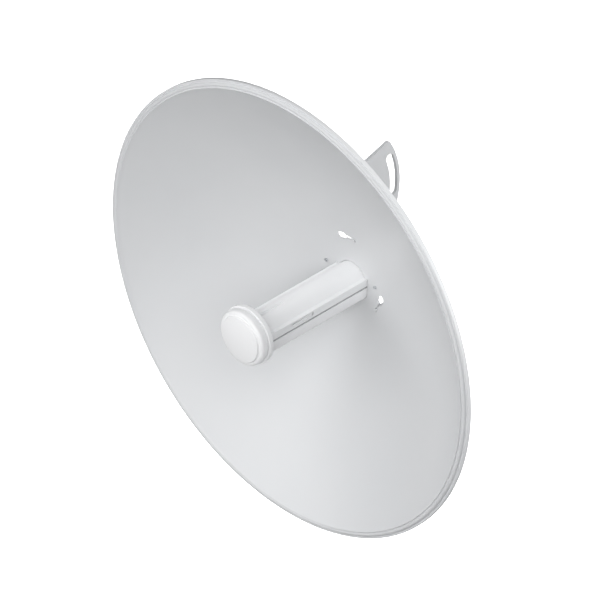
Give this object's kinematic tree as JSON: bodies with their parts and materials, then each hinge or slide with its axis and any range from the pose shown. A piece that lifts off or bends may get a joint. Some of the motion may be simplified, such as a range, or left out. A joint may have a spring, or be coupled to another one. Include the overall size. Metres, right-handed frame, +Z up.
{
  "type": "outdoor wireless bridge",
  "caption": "Round parabolic dish radio bridge with a tube feed at its centre, a rear housing with a port door, and a tilting bracket clamped to a pole.",
  "frame": {"origin": "centre of the pole clamp, on the pole's axis", "axes": "+Z up along the pole, the dish faces -Y, +X to the right as seen from the front"},
  "size_m": [0.42, 0.2575, 0.42],
  "materials": {
    "white_powder_coat": "satin",
    "white_plastic": "satin",
    "grey_plastic": "matte",
    "black_plastic": "matte",
    "clear_plastic": "gloss",
    "grey_rubber": "matte",
    "zinc_plated_steel": "satin",
    "spring_steel": "satin",
    "cast_aluminium": "cast",
    "sheet_aluminium": "brushed",
    "tin_plate": "satin",
    "circuit_board": "solder mask",
    "gold_contact": "plated"
  },
  "bodies": {
    "pole_mount": {"pole_bracket": "white_powder_coat", "pole_saddle": "cast_aluminium", "saddle_screws": "zinc_plated_steel", "clamp_bolts": "zinc_plated_steel", "pivot_bolt": "zinc_plated_steel", "pivot_washers": "zinc_plated_steel", "pivot_nut": "zinc_plated_steel", "lock_bolt": "zinc_plated_steel", "lock_washers": "zinc_plated_steel", "lock_nut": "zinc_plated_steel"},
    "dish_assembly": {"dish_reflector": "white_powder_coat", "tilt_bracket": "white_powder_coat", "bayonet_studs": "white_powder_coat", "dish_lock_screws": "zinc_plated_steel", "feed_upper_shell": "white_plastic", "feed_lower_shell": "white_plastic", "cap_ring": "white_plastic", "feed_cap": "white_plastic", "rear_housing": "white_plastic", "shell_gaskets": "grey_rubber", "cap_seal": "grey_rubber", "cable_grommet": "grey_rubber", "thermal_pads": "grey_rubber", "tail_plate": "grey_plastic", "light_pipe": "clear_plastic", "sub_reflector": "sheet_aluminium", "heat_spreader": "sheet_aluminium", "radiator_board": "circuit_board", "main_board": "circuit_board", "radiator_post": "white_plastic", "radiator_link": "gold_contact", "board_screws": "zinc_plated_steel", "rf_shields": "tin_plate", "radio_chips": "black_plastic", "line_transformer": "black_plastic", "rj45_jack": "black_plastic", "jack_contacts": "gold_contact", "reset_switch": "black_plastic", "housing_screws": "zinc_plated_steel", "lever_pin": "spring_steel", "lever_spring": "spring_steel", "door_pin": "spring_steel"},
    "clamp_jaw": {"clamp_jaw": "cast_aluminium", "clamp_washers": "zinc_plated_steel", "clamp_nuts": "zinc_plated_steel"},
    "release_lever": {"release_lever": "grey_plastic"},
    "port_door": {"port_door": "white_plastic"},
    "reset_button": {"reset_button": "grey_plastic"}
  },
  "joints": [
    {"name": "dish_elevation", "type": "hinge", "parent": "pole_mount", "child": "dish_assembly", "pos_m": [0.0605, -0.0225, 0], "axis": [-1, 0, 0], "range_deg": [-15, 15]},
    {"name": "jaw_travel", "type": "slide", "parent": "pole_mount", "child": "clamp_jaw", "axis": [0, 1, 0], "range_m": [0, 0.008]},
    {"name": "release_press", "type": "hinge", "parent": "dish_assembly", "child": "release_lever", "pos_m": [0.127, -0.033, 0.0168], "axis": [-1, 0, 0], "range_deg": [0, 10], "stiffness_Nm_per_rad": 0.15, "springref_deg": -8.59, "deforming": ["lever_spring"]},
    {"name": "door_swing", "type": "hinge", "parent": "dish_assembly", "child": "port_door", "pos_m": [0.127, -0.0058, 0.0216], "axis": [1, 0, 0], "range_deg": [0, 100]},
    {"name": "reset_press", "type": "slide", "parent": "dish_assembly", "child": "reset_button", "axis": [0, -1, 0], "range_m": [0, 0.0003], "stiffness_N_per_m": 400}
  ]
}
